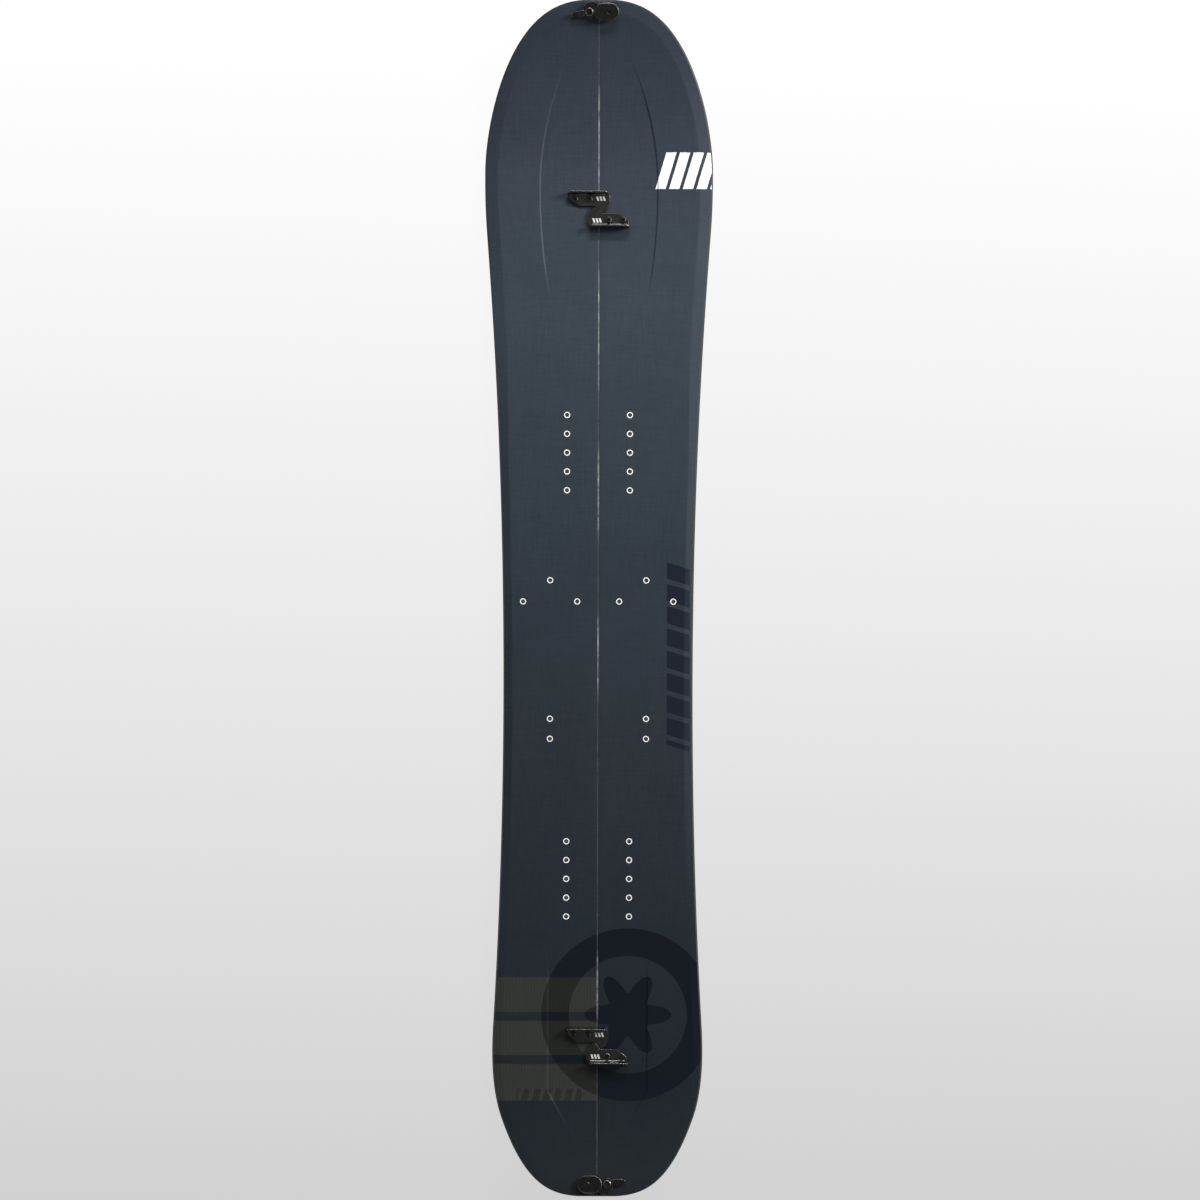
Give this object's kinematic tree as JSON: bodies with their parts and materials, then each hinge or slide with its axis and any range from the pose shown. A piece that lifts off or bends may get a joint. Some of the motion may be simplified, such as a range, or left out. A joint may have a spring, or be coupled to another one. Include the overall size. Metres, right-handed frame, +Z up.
{
  "type": "splitboard",
  "caption": "All-mountain splitboard: a snowboard in two full-length halves joined by interlocking hooks across the seam and a turning clip at each tip.",
  "frame": {"origin": "on the floor under the board, at the seam and the middle of the length", "axes": "+Y to the nose, +Z up off the deck, X across the seam with the left half at -X"},
  "size_m": [0.3082, 1.6, 0.0556],
  "materials": {
    "base_ptex": "sintered polyethylene, ground",
    "edge_steel": "ground",
    "glass_laminate": "resin-wetted glass cloth",
    "core_wood": "planed strips",
    "sidewall_abs": "sanded",
    "topsheet": "matte film",
    "insert_stainless": "turned",
    "hook_black": "black anodised",
    "clip_black": "black anodised",
    "bush_steel": "turned",
    "screw_black": "black oxide"
  },
  "bodies": {
    "left_half": {"left_base": "base_ptex", "left_core": "core_wood", "left_front_binding_inserts": "insert_stainless", "left_heel_riser_inserts": "insert_stainless", "left_inner_edge": "edge_steel", "left_inner_sidewall": "sidewall_abs", "left_lower_laminate": "glass_laminate", "left_nose_hook": "hook_black", "left_nose_hook_inserts": "insert_stainless", "left_nose_hook_screw_inner": "screw_black", "left_nose_hook_screw_outer": "screw_black", "left_outer_edge": "edge_steel", "left_outer_sidewall": "sidewall_abs", "left_rear_binding_inserts": "insert_stainless", "left_tail_hook": "hook_black", "left_tail_hook_inserts": "insert_stainless", "left_tail_hook_screw_inner": "screw_black", "left_tail_hook_screw_outer": "screw_black", "left_topsheet": "topsheet", "left_touring_inserts": "insert_stainless", "left_upper_laminate": "glass_laminate", "nose_clip_pivot_bush": "bush_steel", "nose_clip_pivot_insert": "insert_stainless", "nose_clip_pivot_screw": "screw_black", "tail_clip_catch_base": "clip_black", "tail_clip_catch_cap": "clip_black", "tail_clip_catch_insert": "insert_stainless", "tail_clip_catch_screw": "screw_black"},
    "right_half": {"nose_clip_catch_base": "clip_black", "nose_clip_catch_cap": "clip_black", "nose_clip_catch_insert": "insert_stainless", "nose_clip_catch_screw": "screw_black", "right_base": "base_ptex", "right_core": "core_wood", "right_front_binding_inserts": "insert_stainless", "right_heel_riser_inserts": "insert_stainless", "right_inner_edge": "edge_steel", "right_inner_sidewall": "sidewall_abs", "right_lower_laminate": "glass_laminate", "right_nose_hook": "hook_black", "right_nose_hook_inserts": "insert_stainless", "right_nose_hook_screw_inner": "screw_black", "right_nose_hook_screw_outer": "screw_black", "right_outer_edge": "edge_steel", "right_outer_sidewall": "sidewall_abs", "right_rear_binding_inserts": "insert_stainless", "right_tail_hook": "hook_black", "right_tail_hook_inserts": "insert_stainless", "right_tail_hook_screw_inner": "screw_black", "right_tail_hook_screw_outer": "screw_black", "right_topsheet": "topsheet", "right_touring_inserts": "insert_stainless", "right_upper_laminate": "glass_laminate", "tail_clip_pivot_bush": "bush_steel", "tail_clip_pivot_insert": "insert_stainless", "tail_clip_pivot_screw": "screw_black"},
    "nose_lever": {"nose_clip_lever": "clip_black"},
    "tail_lever": {"tail_clip_lever": "clip_black"}
  },
  "joints": [
    {"name": "halves_part", "type": "slide", "parent": "left_half", "child": "right_half", "axis": [0.5, -0.866, 0], "range_m": [0, 0.2]},
    {"name": "nose_clip_turn", "type": "hinge", "parent": "left_half", "child": "nose_lever", "pos_m": [-0.0134, 0.7843, 0.04504], "axis": [0, -0.2972, 0.9548], "range_deg": [0, 100]},
    {"name": "tail_clip_turn", "type": "hinge", "parent": "right_half", "child": "tail_lever", "pos_m": [0.0134, -0.7843, 0.03009], "axis": [0, 0.2754, 0.9613], "range_deg": [0, 100]}
  ]
}
